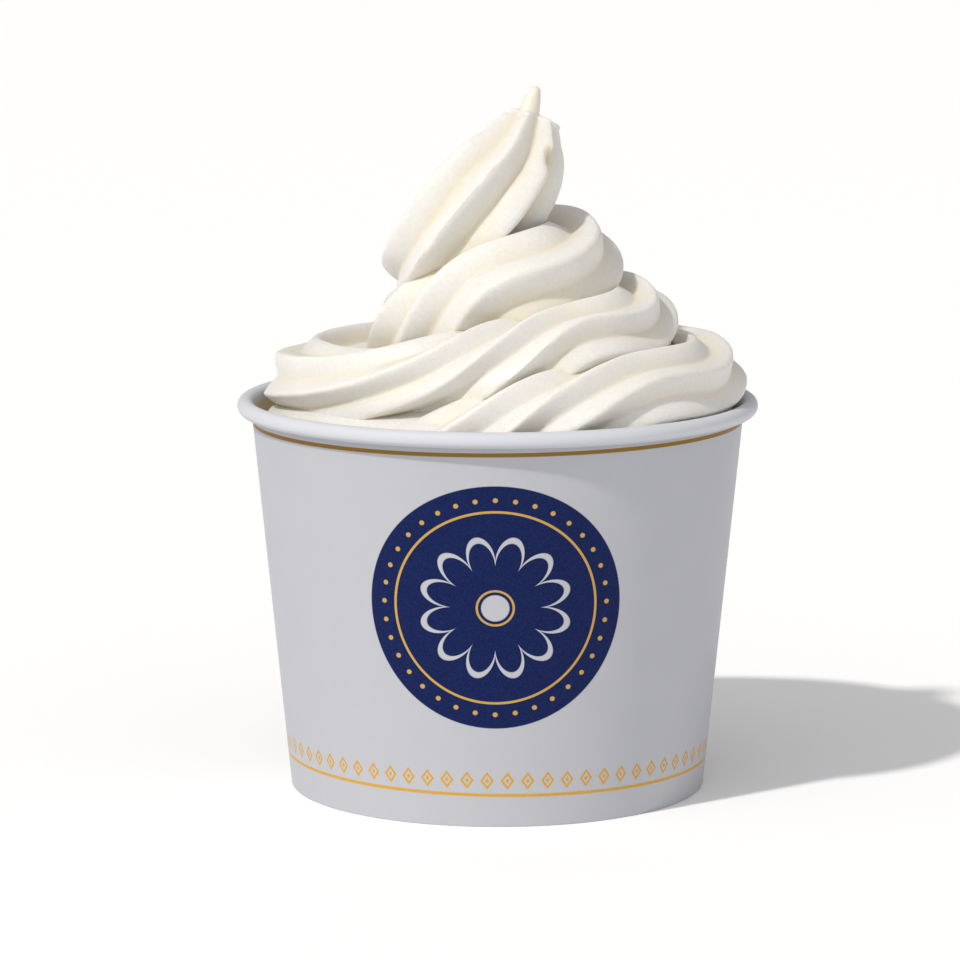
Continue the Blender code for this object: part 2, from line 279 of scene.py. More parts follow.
wall_outside = arc(WALL_FOOT_RADIUS - FOOT_ROUND, FOOT_ROUND, FOOT_ROUND, -90, 0, FOOT_ROUND_STEPS)
wall_outside += [(wall_radius(z), z) for z in np.linspace(FIRST_ROW, roll_z - UNDER_ROLL, OUTSIDE_ROWS)]
wall_roll = arc(roll_r, roll_z, ROLL_RADIUS, -meets_wall, 180, ROLL_STEPS)
inside_rows = np.linspace(roll_z - INSIDE_ROLL, FOLD_FLOOR, INSIDE_ROWS)
wall_inside = [(wall_radius(z) - BOARD, z) for z in inside_rows]
wall_inside += [
    (wall_radius(FOLD_FLOOR) - fold_out, FOLD_FLOOR),
    (wall_radius(FOLD_HEIGHT) - fold_out, FOLD_HEIGHT),
    (wall_radius(FOLD_HEIGHT) - fold_in, FOLD_HEIGHT),
    (wall_radius(FOOT_ROUND) - fold_in, FOOT_ROUND),
    (WALL_FOOT_RADIUS - fold_in + FOOT_ROUND, 0.0),
]


def wall_shift(i, angle):
    """How far out a point of the profile goes: the lap's step outside, and the roll's dip beside it."""
    past = (angle - LAP_ANGLE) / LAP_FADE
    if not 0 <= past < 1:
        return 0.0
    step = LAP_STEP * (1 - past)
    if i < len(wall_outside):
        return step
    if i - len(wall_outside) < len(wall_roll) // 2:
        return -ROLL_SEAM_DIP * (LAP_STEP - step)
    return 0.0


wall_angles = sorted(even_angles(CUP_SIDES) + [LAP_ANGLE - LAP_EDGE])
wall_mesh = turned("wall", wall_outside + wall_roll + wall_inside, wall_angles, wall_shift)

# The print: each mark is a field of one ink, placed on the flat blank. The blank's own coordinates are the
# distance from the tip of the cone and the angle round it, so a round mark wraps as it does on the cup.

BOARD_MOTTLE = (0.465, 0.476, 0.512)
# Painted light: the rim roll is coloured lighter than the wall for the brighter light that falls on it.
RIM_HIGHLIGHT_WHITE = (0.58, 0.595, 0.635)
GAP_SHADE_TAN = (0.62, 0.50, 0.32)  # painted warm shade on the inside of the wall, for the narrow gap above the yogurt
GOLD = (0.62, 0.36, 0.05)
DULL_GOLD = (0.52, 0.28, 0.035)
RIM_SHADOW_GOLD = (0.25, 0.14, 0.028)  # painted shadow: the upper stripe is coloured darker where the rim's shadow falls on it
NAVY = (0.001, 0.004, 0.046)
WORN_NAVY = (0.006, 0.020, 0.105)
PAPER_ROUGHNESS, INK_ROUGHNESS = 0.46, 0.38
INK_EDGE = 0.06  # how far a printed edge reaches to either side
ROUND_EDGE = 0.08
PETAL_EDGE = 0.1
OUTER_FACE, INNER_FACE = -0.2, -0.35  # heights off the outer face that mark off the board's two faces
FACE_EDGE = 0.05
PRINT_TOP = 72.65
RIM_FROM = 72.9
GAP_SHADE_TOP = 73.3
RIM_EDGE = 0.5
STRIPE_TOP = 71.05  # height of the upper stripe's middle
STRIPE_WIDTH = 0.8
STRIPE_TILT = -0.006  # the blank is wound a little askew
FOOT_STRIPE = 6.2
FOOT_STRIPE_WIDTH = 0.6
FOOT_TILT = 0.011
FRIEZE_HEIGHT = 9.0
FRIEZE_COUNT = 68
FRIEZE_RADIUS = 41
LOZENGE_REACH = 1.386  # from a lozenge's middle up to its tip
LOZENGE_NARROW = 1.35
LOZENGE_LINE = 0.68
LOZENGE_DOT, LOZENGE_DOT_EDGE = 0.525, 0.075
DISC_HEIGHT = 42.2
DISC_RADIUS = 24.1
DISC_ASPECT = 1.04  # it is printed a little wider than tall
DISC_ACROSS = -0.4
RING_RADIUS, RING_WIDTH = 19.0, 0.45
BEAD_RADIUS, BEAD_COUNT, BEAD_SIZE = 21.3, 36, 0.9
EYE_RADIUS = 2.6
EYE_RING_RADIUS, EYE_RING_WIDTH = 3.4, 0.4
PETAL_COUNT, PETAL_ROUND = 12, 0.6
PETALS_OUTSIDE = (9.2, 14.4)  # radii of the line's outer edge, between two petals and at their tips
PETALS_INSIDE = (8.2, 13.2)

cone_slope = (WALL_TOP_RADIUS - WALL_FOOT_RADIUS) / (CUP_HEIGHT - 2 * ROLL_RADIUS)
cone_tilt = math.atan(cone_slope)
cone_tip = -WALL_FOOT_RADIUS / cone_slope

wall_board, surface, wire = shader("printed board", Coat_Roughness=0.25, Specular_IOR_Level=0.12)
place = wire.node("ShaderNodeTexCoord", output=3)
x, y, z = (wire.node("ShaderNodeSeparateXYZ", {0: place}, output=i) / MM for i in range(3))
round_angle = wire.math("ARCTAN2", x, 0.0 - y)


def distance(one, other):
    """How far a point lies from the origin of two coordinates."""
    return one.math("SQRT", one * one + other * other)


def either(first, *others):
    """The greatest of several masks at each point."""
    for other in others:
        first = first.math("MAXIMUM", first, other)
    return first


def band(measure, middle, width):
    """Line of ink where a measure lies near a value, with edges as soft as printing leaves them."""
    return wire.math("ABSOLUTE", measure - middle).below(width / 2, INK_EDGE)


outer = distance(x, y) - (z - cone_tip) * cone_slope
outside = outer.above(OUTER_FACE, FACE_EDGE) * z.below(PRINT_TOP, FACE_EDGE)
foot_askew = z + x * FOOT_TILT
slant = (z - cone_tip) / math.cos(cone_tilt)
flat_angle = round_angle * math.sin(cone_tilt)
to_disc = (DISC_HEIGHT - cone_tip) / math.cos(cone_tilt)
across = slant * wire.math("SINE", flat_angle) - DISC_ACROSS
along = (slant * wire.math("COSINE", flat_angle) - to_disc) * DISC_ASPECT
from_middle = distance(across, along)
about = wire.math("ARCTAN2", along, across)
front = y.below(FACE_EDGE, FACE_EDGE)
disc = from_middle.below(DISC_RADIUS, ROUND_EDGE) * front

bead_step = TURN / BEAD_COUNT
nearest = wire.math("SNAP", about + bead_step / 2, bead_step)
bead_across = across - wire.math("COSINE", nearest) * BEAD_RADIUS
bead_along = along - wire.math("SINE", nearest) * BEAD_RADIUS
beads = distance(bead_across, bead_along).below(BEAD_SIZE / 2, ROUND_EDGE)


def petals(low, high):
    """A rosette: its edge swings between two radii, once for each petal."""
    swing = wire.math("ABSOLUTE", wire.math("SINE", about * (PETAL_COUNT / 2)))
    edge = low + wire.math("POWER", swing, PETAL_ROUND) * (high - low)
    return (from_middle - edge).below(0.0, PETAL_EDGE)


rings = either(band(from_middle, RING_RADIUS, RING_WIDTH), band(from_middle, EYE_RING_RADIUS, EYE_RING_WIDTH))
gold_in_disc = either(rings, beads)
eye = from_middle.below(EYE_RADIUS, PETAL_EDGE)
white_in_disc = either(petals(*PETALS_OUTSIDE) - petals(*PETALS_INSIDE), eye)

cell = round_angle * (FRIEZE_COUNT / TURN)
in_cell = wire.math("ABSOLUTE", wire.math("FRACT", cell) - 0.5) * (TURN * FRIEZE_RADIUS / FRIEZE_COUNT)
up_cell = wire.math("ABSOLUTE", foot_askew - FRIEZE_HEIGHT)
lozenge = in_cell * LOZENGE_NARROW + up_cell
frieze = either(band(lozenge, LOZENGE_REACH, LOZENGE_LINE), lozenge.below(LOZENGE_DOT, LOZENGE_DOT_EDGE))

top_stripe = band(z + x * STRIPE_TILT, STRIPE_TOP, STRIPE_WIDTH)
foot_stripe = band(foot_askew, FOOT_STRIPE, FOOT_STRIPE_WIDTH)
gold = either(either(top_stripe, foot_stripe, frieze) * (1 - disc), gold_in_disc * disc) * outside
navy = disc * outside * (1 - gold_in_disc) * (1 - white_in_disc)
inked = either(navy, gold)

speckle = noise(wire, place, 0.28, 2.0, 0.7)
mottle = noise(wire, place, 9.0, 3.0)
paper = mottle.blend(BOARD_WHITE, BOARD_MOTTLE)
# Painted light: from the rim's foot up, the board takes the lighter colour.
paper = z.above(RIM_FROM, RIM_EDGE).blend(paper, RIM_HIGHLIGHT_WHITE)
# Painted shade: the inside of the wall below the roll is coloured warm tan for the shade in the gap above the
# yogurt.
gap_shade = outer.below(INNER_FACE, FACE_EDGE) * z.below(GAP_SHADE_TOP, RIM_EDGE)
paper = gap_shade.blend(paper, GAP_SHADE_TAN)
# Painted shadow: the upper stripe takes the darker gold that stands in for the rim's shadow on it.
gold_ink_and_rim_shadow = top_stripe.blend(speckle.blend(DULL_GOLD, GOLD), RIM_SHADOW_GOLD)
navy_ink = speckle.clip(0.3, 0.75).blend(NAVY, WORN_NAVY)
feed(
    surface,
    Base_Color=navy.blend(gold.blend(paper, gold_ink_and_rim_shadow), navy_ink),
    Roughness=inked.clip(0.0, 1.0, PAPER_ROUGHNESS, INK_ROUGHNESS) + speckle * 0.06,
    Coat_Weight=(1 - inked) * outside * 0.1,
    Normal=board_bump(wire, place),
)
mesh_piece("cup_wall_board", wall_mesh, wall_board, "cup_wall")

# Frozen yogurt
# Soft-serve yogurt, drawn from a star-shaped nozzle into the cup as one fluted rope. It is laid round and
# round on itself, leans a little, and ends in a peak that was pulled up as the nozzle closed.

COIL_START, COIL_END = -0.88, 2.22
COIL_STATIONS = (
    # turn, path radius, rope half width, rope half height, height of the path
    (-0.90, 34.0, 9.5, 9.5, 64.0),
    (-0.50, 34.5, 9.5, 9.5, 60.5),
    (-0.31, 36.4, 9.4, 9.6, 66.0),
    (-0.24, 36.8, 9.4, 9.6, 73.6),
    (-0.18, 37.4, 9.4, 9.6, 76.6),
    (0.00, 38.4, 9.4, 9.3, 78.7),
    (0.12, 37.0, 9.2, 9.1, 77.6),
    (0.25, 36.2, 9.5, 9.5, 77.2),
    (0.50, 35.3, 9.8, 9.5, 77.1),
    (0.62, 32.2, 9.4, 8.3, 79.5),
    (0.75, 28.8, 9.2, 9.1, 84.4),
    (1.00, 25.3, 9.4, 9.4, 89.2),
    (1.25, 21.0, 9.5, 9.5, 88.0),
    (1.50, 15.4, 9.8, 10.4, 86.2),
    (1.61, 16.0, 10.2, 10.8, 89.2),
    (1.75, 16.8, 10.4, 10.8, 96.2),
    (2.00, 14.0, 9.9, 10.1, 101.2),
    (2.30, 10.8, 9.8, 9.8, 101.8),
)
PEAK_STATIONS = (
    # x, y, z, rope radius
    (-12.0, 1.0, 99.6, 10.2),
    (-11.1, -4.2, 102.4, 10.7),
    (-6.2, -6.6, 109.0, 11.6),
    (-0.9, -5.8, 115.2, 11.6),
    (3.6, -3.8, 121.2, 9.7),
    (5.4, -1.9, 125.8, 7.2),
    (6.2, -1.1, 128.0, 5.7),
    (6.6, -0.8, 129.4, 4.2),
    (6.8, -0.7, 129.9, 0.6),
)
NUB_STATIONS = (
    # x, y, z, radius of the small hook that tore off the nozzle
    (3.4, -3.2, 125.0, 3.0),
    (5.0, -2.9, 128.4, 2.6),
    (6.1, -2.6, 131.0, 2.0),
    (6.6, -2.4, 133.0, 1.6),
    (6.9, -2.3, 134.1, 1.25),
    (7.0, -2.3, 134.7, 0.85),
    (7.1, -2.3, 135.0, 0.3),
)
WINDING_STATIONS = (
    # turn, degrees that the flutes have wound round the rope
    (-0.90, -60), (-0.40, -25), (-0.25, 2), (-0.20, 48), (-0.14, 86), (-0.06, 83), (0.00, 107), (0.08, 124),
    (0.30, 140), (0.50, 146), (0.64, 172), (0.70, 202), (0.75, 247), (0.82, 304), (0.92, 300), (1.00, 330),
    (1.30, 358), (1.57, 378), (1.65, 429), (1.74, 480), (1.86, 494), (1.97, 517), (2.10, 547), (2.22, 576),
)
PEAK_WIND = 2  # degrees, from the foot of the peak to its tip
SPREAD = 0.3  # the upper turns' flutes are this much wider on the outside
SPREAD_TURNS = (1.3, 1.5)
SPREAD_AT = 25  # degrees round the rope
SPREAD_FADE = 1 / 3  # share of the peak over which that widening fades away
FLUTES = 7
FLUTE_DEPTH = 0.26  # of the rope's radius, in the lower turns
UPPER_DEPTH = 0.04  # added in the upper turns and the peak
UPPER_TURNS = (1.3, 1.6)
VALLEY_ROUND = 0.12  # at 0 the valleys would be as sharp as the crests
FLUTE_SHARPNESS = 0.985  # at 1 the flutes would have flat sides and sharp edges
POINTS_AROUND = 108
ROPE_WELD = 0.002
STATIONS_PER_TURN = 170
JOIN_STATIONS = 3  # the peak's curve starts this many stations before the coil's end
PEAK_STEP = 0.6
LENGTH_TURNS = 0.65  # longest stretch of rope in one mesh, short of meeting itself
END_TAPER = 1.5
NUB_ROWS = 40
ROPE_CLEARANCE = 0.9
RIM_CLEARANCE = 0.7
FILL_SIDES = 96
FILL_RIM = 69.0
FILL_STEPS = ((44.3, 72.2), (41.5, 74.2), (36.0, 76.5), (28.0, 80.0), (20.0, 88.0), (12.0, 96.0), (0.0, 99.0))
HEART = (-2.0, 0.0, 106.0)  # a ball that fills the hollow inside the last turn of the rope
HEART_RADIUS = 8.3
HEART_SUBDIVISIONS = 4


def through(stations, at):
    """Smooth curve through rows of (parameter, values), read at the parameters asked for."""
    table = np.array(stations, float)
    t, rows = table[:, 0], table[:, 1:]
    step = np.diff(t)[:, None]
    chord = np.diff(rows, axis=0) / step
    middle = (chord[:-1] * step[1:] + chord[1:] * step[:-1]) / (step[1:] + step[:-1])
    slope = np.vstack([chord[:1], middle, chord[-1:]])
    i = np.clip(np.searchsorted(t, at) - 1, 0, len(t) - 2)
    s = ((at - t[i]) / (t[i + 1] - t[i]))[:, None]
    rise = s * s * (3 - 2 * s)
    return (
        rows[i] * (1 - rise)
        + rows[i + 1] * rise
        + step[i] * slope[i] * s * (1 - s) ** 2
        - step[i] * slope[i + 1] * s * s * (1 - s)
    )


def rope_path():
    """Centre, half width, half height, turn and share of the peak at each station."""
    turns = np.arange(COIL_START, COIL_END, 1 / STATIONS_PER_TURN)
    radius, width, height, z = through(COIL_STATIONS, turns).T
    x = radius * np.cos(TURN * turns)
    y = radius * np.sin(TURN * turns)
    coil = np.column_stack([x, y, z, width, height])
    peak = np.array(PEAK_STATIONS)[:, [0, 1, 2, 3, 3]]
    joined = np.vstack([coil[[-1 - JOIN_STATIONS, -1]], peak])
    run = np.concatenate([[0], np.cumsum(np.linalg.norm(np.diff(joined[:, :3], axis=0), axis=1))])
    along = np.append(np.arange(run[1] + PEAK_STEP, run[-1], PEAK_STEP), run[-1])
    rise = through(np.column_stack([run, joined]), along)
    share = (along - run[1]) / (run[-1] - run[1])
    all_turns = np.append(turns, np.full(len(share), turns[-1]))
    return np.vstack([coil, rise]), all_turns, np.append(np.zeros(len(turns)), share)


def winding(turns, share):
    """How far the flutes have wound round the rope, in radians: most where it passes the front."""
    return np.radians(through(WINDING_STATIONS, turns)[:, 0] + PEAK_WIND * share)


def group_input(tree, label, kind):
    """Named input of a tree, as the wire inside and the identifier that a modifier sets."""
    item = tree.interface.new_socket(label, in_out="INPUT", socket_type=kind)
    start = tree.nodes.get("Group Input") or tree.nodes.new("NodeGroupInput")
    return Wire(tree, start.outputs[label]), item.identifier


def vectors(operation, *values, output=0):
    """A Vector Math node on one or more vectors."""
    return values[0].node("ShaderNodeVectorMath", enumerate(values), {"operation": operation}, output)


def scaled(vector, factor):
    """A vector times a number."""
    return vector.node("ShaderNodeVectorMath", {0: vector, "Scale": factor}, {"operation": "SCALE"})


def rope_tree():
    """Geometry Nodes that sweep the fluted nozzle along a guide, whose points carry the rope's size."""
    tree = bpy.data.node_groups.new("Fluted rope", "GeometryNodeTree")
    tree.interface.new_socket("Rope", in_out="OUTPUT", socket_type="NodeSocketGeometry")
    guide, _ = group_input(tree, "Guide", "NodeSocketGeometry")
    keys = {}
    flutes, keys["Flutes"] = group_input(tree, "Flutes", "NodeSocketInt")
    sharpness, keys["Flute Sharpness"] = group_input(tree, "Flute Sharpness", "NodeSocketFloat")
    rounding, keys["Valley Round"] = group_input(tree, "Valley Round", "NodeSocketFloat")
    spread_at, keys["Spread Angle"] = group_input(tree, "Spread Angle", "NodeSocketFloat")
    points, keys["Points Around"] = group_input(tree, "Points Around", "NodeSocketInt")
    material, keys["Material"] = group_input(tree, "Material", "NodeSocketMaterial")
    w = Wire(tree)
    stations = w.node("GeometryNodeAttributeDomainSize", {0: guide})
    columns = points + 1
    rows = {"Size X": 1.0, "Size Y": 1.0, "Vertices X": stations, "Vertices Y": columns}
    grid = w.node("GeometryNodeMeshGrid", rows)
    index = w.node("GeometryNodeInputIndex")
    station = w.math("FLOOR", (index + 0.5) / columns)
    angle = (index - station * columns) / points * TURN

    def carried(name, kind):
        """An attribute of the guide, read at this ring's station."""
        if name == "position":
            value = w.node("GeometryNodeInputPosition")
        else:
            value = w.node("GeometryNodeInputNamedAttribute", {"Name": name}, {"data_type": kind})
        sampling = {"data_type": kind, "domain": "POINT"}
        return w.node("GeometryNodeSampleIndex", {0: guide, 1: value, 2: station}, sampling)

    flattest = w.math("ARCCOSINE", sharpness)
    valley = w.math("ARCCOSINE", w.math("COSINE", angle * flutes) * sharpness)
    valley = (valley - flattest) / (math.pi - 2 * flattest)
    valley = (valley - rounding * w.math("POWER", valley, 4.0)) / (1 - rounding)
    lobe = 1 - carried("depth", "FLOAT") * valley
    wound = angle + carried("wound", "FLOAT")
    wound = wound + carried("spread", "FLOAT") * w.math("SINE", wound - spread_at)
    across = scaled(carried("half_width", "FLOAT_VECTOR"), w.math("COSINE", wound) * lobe)
    upright = scaled(carried("half_height", "FLOAT_VECTOR"), w.math("SINE", wound) * lobe)
    point = vectors("ADD", carried("position", "FLOAT_VECTOR"), vectors("ADD", across, upright))
    placed = w.node("GeometryNodeSetPosition", {"Geometry": grid, "Position": point})
    welded = w.node("GeometryNodeMergeByDistance", {"Geometry": placed, "Distance": ROPE_WELD * MM})
    realized = w.node("GeometryNodeRealizeInstances", {0: welded})
    finished = w.node("GeometryNodeSetMaterial", {"Geometry": realized, "Material": material})
    end = tree.nodes.new("NodeGroupOutput")
    tree.links.new(finished.socket, end.inputs[0])
    return tree, keys


def made_by_tree(source, tree, values):
    """Run a tree on an object and return the plain mesh that it makes."""
    modifier = source.modifiers.new("tree", "NODES")
    modifier.node_group = tree
    for key, value in values.items():
        modifier[key] = value
    mesh = bpy.data.meshes.new_from_object(source.evaluated_get(bpy.context.evaluated_depsgraph_get()))
    source.modifiers.remove(modifier)
    return mesh


def guide_object(name, centre, half_width, half_height, fluting):
    """Line of points that carry the rope's two half widths and its fluting."""
    mesh = bpy.data.meshes.new(name)
    mesh.from_pydata([tuple(p) for p in centre * MM], [], [])
    for label, rows in (("half_width", half_width), ("half_height", half_height)):
        mesh.attributes.new(label, "FLOAT_VECTOR", "POINT").data.foreach_set("vector", (rows * MM).ravel())
    for label, row in zip(("wound", "spread", "depth"), fluting):
        mesh.attributes.new(label, "FLOAT", "POINT").data.foreach_set("value", row)
    guide = bpy.data.objects.new(name, mesh)
    bpy.context.scene.collection.objects.link(guide)
    return guide


def kept_in_cup(mesh):
    """Draw the rope in from the cup's wall and from its roll, where it would meet them."""
    places = np.empty(len(mesh.vertices) * 3)
    mesh.vertices.foreach_get("co", places)
    places = places.reshape(-1, 3) / MM
    clear = ROLL_RADIUS + RIM_CLEARANCE
    z = places[:, 2]
    in_wall = np.minimum(wall_radius(z) - BOARD - ROPE_CLEARANCE, roll_r - clear)
    past_roll = roll_r - np.sqrt(np.clip(clear**2 - (z - roll_z) ** 2, 0, None))
    limit = np.where(z < roll_z, in_wall, np.where(z < roll_z + clear, past_roll, RIM_RADIUS))
    reach = np.hypot(places[:, 0], places[:, 1])
    places[:, :2] *= np.minimum(1, limit / np.maximum(reach, limit))[:, None]
    mesh.vertices.foreach_set("co", (places * MM).ravel())


PALE_CREAM = (0.79, 0.78, 0.75)
CREAM = (0.69, 0.68, 0.645)
HOLLOW_SHADE_CREAM = (0.74, 0.66, 0.47)  # painted warm shade in the hollows
# Painted shade: the open tear is coloured brown for the shade inside it.
TEAR_SHADE_CREAM = (0.52, 0.38, 0.20)
TEAR_SHADE_SHARE = 0.8
CLOUD_SIZE, CLOUD_SHARE = 14.0, 0.4
GRAIN_SIZE, GRAIN_DEPTH = 0.7, 0.08
PIT_SIZE, PIT_DEPTH = 1.6, 0.10

yogurt, surface, wire = shader(
    "frozen yogurt",
    Roughness=0.42,
    IOR=1.38,
    Subsurface_Weight=0.7,
    Subsurface_Radius=(1.0, 0.74, 0.44),
    Subsurface_Scale=1.3 * MM,
    Coat_Weight=0.08,
    Coat_Roughness=0.3,
)
place = wire.node("ShaderNodeTexCoord", output=3)
hollow = wire.node("ShaderNodeAttribute", settings={"attribute_name": "hollow"}, output=2)
# Painted shade: the more hollow a point is, the more it takes the darker, warmer cream.
deep = hollow.clip(-0.4, 1.0)
# Painted shade inside the tear, read from the tear's mask.
torn = wire.node("ShaderNodeAttribute", settings={"attribute_name": "torn"}, output=2) * TEAR_SHADE_SHARE
cloud = noise(wire, place, CLOUD_SIZE, 3.0)
grain = noise(wire, place, GRAIN_SIZE, 4.0, 0.7)
pale = cloud.clip(0.3, 0.7) * CLOUD_SHARE + grain.clip(0.3, 0.7) * (1 - CLOUD_SHARE)
pits = noise(wire, place, PIT_SIZE, 3.0, 0.6)
bump_height = grain * (GRAIN_DEPTH * MM) + pits * (PIT_DEPTH * MM)
feed(
    surface,
    Base_Color=torn.blend(deep.blend(pale.blend(CREAM, PALE_CREAM), HOLLOW_SHADE_CREAM), TEAR_SHADE_CREAM),
    Roughness=grain.clip(0.3, 0.7, 0.36, 0.52),
    Normal=wire.node("ShaderNodeBump", {"Height": bump_height, "Strength": 0.9, "Distance": 1.0}),
)

path, turns, share = rope_path()
centre = path[:, :3]
way = np.gradient(centre, axis=0)
way /= np.linalg.norm(way, axis=1)[:, None]
out_rows, up_rows = [], []
out = np.zeros(3)
for i in range(len(centre)):
    if share[i] == 0:
        out = np.array([math.cos(TURN * turns[i]), math.sin(TURN * turns[i]), 0.0])
    out = out - out.dot(way[i]) * way[i]
    out /= np.linalg.norm(out)
    out_rows.append(out)
    up_rows.append(np.cross(out, way[i]))
half_width = np.array(out_rows) * path[:, 3:4]
half_height = np.array(up_rows) * path[:, 4:5]
spread = np.interp(turns, SPREAD_TURNS, (0.0, SPREAD)) * (1 - np.clip(share / SPREAD_FADE, 0, 1))
depth = FLUTE_DEPTH + np.interp(turns, UPPER_TURNS, (0.0, UPPER_DEPTH))
fluting = np.array([winding(turns, share), spread, depth])

tree, keys = rope_tree()
rope_values = {
    keys["Flutes"]: FLUTES,
    keys["Flute Sharpness"]: FLUTE_SHARPNESS,
    keys["Valley Round"]: VALLEY_ROUND,
    keys["Spread Angle"]: math.radians(SPREAD_AT),
    keys["Points Around"]: POINTS_AROUND,
    keys["Material"]: yogurt,
}
lengths = bpy.data.collections.new("rope lengths")
per_length = round(LENGTH_TURNS * STATIONS_PER_TURN)
for start in range(0, len(centre) - 1, per_length):
    rows = np.arange(start, min(start + per_length + 1, len(centre)))
    first, last = rows[0], rows[-1]
    ends = [centre[first] - way[first] * END_TAPER, centre[last] + way[last] * END_TAPER / 2]
    guide = guide_object(
        f"guide_{start}",
        np.vstack([ends[0], centre[rows], ends[1]]),
        np.vstack([0 * half_width[first], half_width[rows], 0 * half_width[last]]),
        np.vstack([0 * half_height[first], half_height[rows], 0 * half_height[last]]),
        fluting[:, np.concatenate([[first], rows, [last]])],
    )
    length = made_by_tree(guide, tree, rope_values)
    kept_in_cup(length)
    bpy.data.objects.remove(guide)
    lengths.objects.link(bpy.data.objects.new(f"length_{start}", length))

nub_table = np.column_stack([np.linspace(0, 1, len(NUB_STATIONS)), NUB_STATIONS])
nub = through(nub_table, np.linspace(0, 1, NUB_ROWS))
side = np.tile((1.0, 0.0, 0.0), (NUB_ROWS, 1))
rise = np.tile((0.0, -1.0, 0.0), (NUB_ROWS, 1))
radii = nub[:, 3:4].copy()
radii[[0, -1]] = 0
no_flutes = np.zeros((len(fluting), NUB_ROWS))
guide = guide_object("guide_nub", nub[:, :3], side * radii, rise * radii, no_flutes)
lengths.objects.link(bpy.data.objects.new("nub", made_by_tree(guide, tree, rope_values)))
bpy.data.objects.remove(guide)

heart_mesh = bpy.data.meshes.new("heart")
bm = bmesh.new()
bmesh.ops.create_icosphere(bm, subdivisions=HEART_SUBDIVISIONS, radius=HEART_RADIUS * MM)
bmesh.ops.translate(bm, verts=bm.verts, vec=Vector(HEART) * MM)
bm.to_mesh(heart_mesh)
bm.free()
lengths.objects.link(bpy.data.objects.new("heart", heart_mesh))

floor_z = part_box("frozen_yogurt")[0][2] / MM
fill_profile = [(0.0, floor_z), (wall_radius(floor_z) - within - BASE_ROUND, floor_z)]
fill_profile += [(wall_radius(z) - within, z) for z in (floor_z + BASE_ROUND, FILL_RIM)]
fill_profile += list(FILL_STEPS)
fill = turned("fill", fill_profile, even_angles(FILL_SIDES))
body = bpy.data.objects.new("fill", fill)
bpy.context.scene.collection.objects.link(body)
fuse = body.modifiers.new("fuse", "BOOLEAN")
fuse.operation = "UNION"
fuse.operand_type = "COLLECTION"
fuse.collection = lengths
fuse.solver = "MANIFOLD"
fused = bpy.data.meshes.new_from_object(body.evaluated_get(bpy.context.evaluated_depsgraph_get()))
bpy.data.objects.remove(body)
for length in list(lengths.objects):
    bpy.data.objects.remove(length)
bpy.data.collections.remove(lengths)


def keep_largest(mesh):
    """Drop the sealed hollows and scraps that fusing left, by keeping the one outer surface."""
    bm = bmesh.new()
    bm.from_mesh(mesh)
    bm.verts.ensure_lookup_table()
    seen = np.zeros(len(bm.verts), bool)
    shells = []
    for seed in bm.verts:
        if seen[seed.index]:
            continue
        shell, waiting = [], [seed]
        seen[seed.index] = True
        while waiting:
            vertex = waiting.pop()
            shell.append(vertex)
            for edge in vertex.link_edges:
                other = edge.other_vert(vertex)
                if not seen[other.index]:
                    seen[other.index] = True
                    waiting.append(other)
        shells.append(shell)
    shells.sort(key=len)
    for shell in shells[:-1]:
        bmesh.ops.delete(bm, geom=shell, context="VERTS")
    bm.to_mesh(mesh)
    bm.free()


keep_largest(fused)


def skin_tree():
    """Geometry Nodes that make the fused body uneven, tear the bubble open and mark the hollows."""
    tree = bpy.data.node_groups.new("Yogurt skin", "GeometryNodeTree")
    tree.interface.new_socket("Skin", in_out="OUTPUT", socket_type="NodeSocketGeometry")
    body, _ = group_input(tree, "Body", "NodeSocketGeometry")
    keys = {}
    ripple, keys["Ripple Size"] = group_input(tree, "Ripple Size", "NodeSocketFloat")
    depth, keys["Ripple Depth"] = group_input(tree, "Ripple Depth", "NodeSocketFloat")
    spread, keys["Hollow Spread"] = group_input(tree, "Hollow Spread", "NodeSocketInt")
    scale, keys["Hollow Depth"] = group_input(tree, "Hollow Depth", "NodeSocketFloat")
    tear_at, keys["Tear Place"] = group_input(tree, "Tear Place", "NodeSocketVector")
    tear_size, keys["Tear Size"] = group_input(tree, "Tear Size", "NodeSocketVector")
    tear_depth, keys["Tear Depth"] = group_input(tree, "Tear Depth", "NodeSocketFloat")
    material, keys["Material"] = group_input(tree, "Material", "NodeSocketMaterial")
    w = Wire(tree)
    position = w.node("GeometryNodeInputPosition")
    normal = w.node("GeometryNodeInputNormal")
    ripples = {"Vector": position, "Scale": w.math("DIVIDE", 1.0, ripple), "Detail": 2.0}
    uneven = w.node("ShaderNodeTexNoise", ripples) - 0.5
    from_tear = vectors("DIVIDE", vectors("SUBTRACT", position, tear_at), tear_size)
    torn = vectors("LENGTH", from_tear, output=1).clip(TEAR_FLOOR, 1.0, 1.0, 0.0)
    moved_by = scaled(normal, uneven * depth - torn * tear_depth)
    moved = w.node("GeometryNodeSetPosition", {"Geometry": body, "Offset": moved_by})
    blurring = {"Value": position, "Iterations": spread}
    blurred = w.node("GeometryNodeBlurAttribute", blurring, {"data_type": "FLOAT_VECTOR"})
    # How hollow each point is, which the yogurt's material turns into painted shade.
    hollow = vectors("DOT_PRODUCT", vectors("SUBTRACT", blurred, position), normal, output=1) / scale
    marked = w.node("GeometryNodeStoreNamedAttribute", {"Geometry": moved, "Name": "hollow", "Value": hollow})
    marked = w.node("GeometryNodeStoreNamedAttribute", {"Geometry": marked, "Name": "torn", "Value": torn})
    realized = w.node("GeometryNodeRealizeInstances", {0: marked})
    finished = w.node("GeometryNodeSetMaterial", {"Geometry": realized, "Material": material})
    end = tree.nodes.new("NodeGroupOutput")
    tree.links.new(finished.socket, end.inputs[0])
    return tree, keys


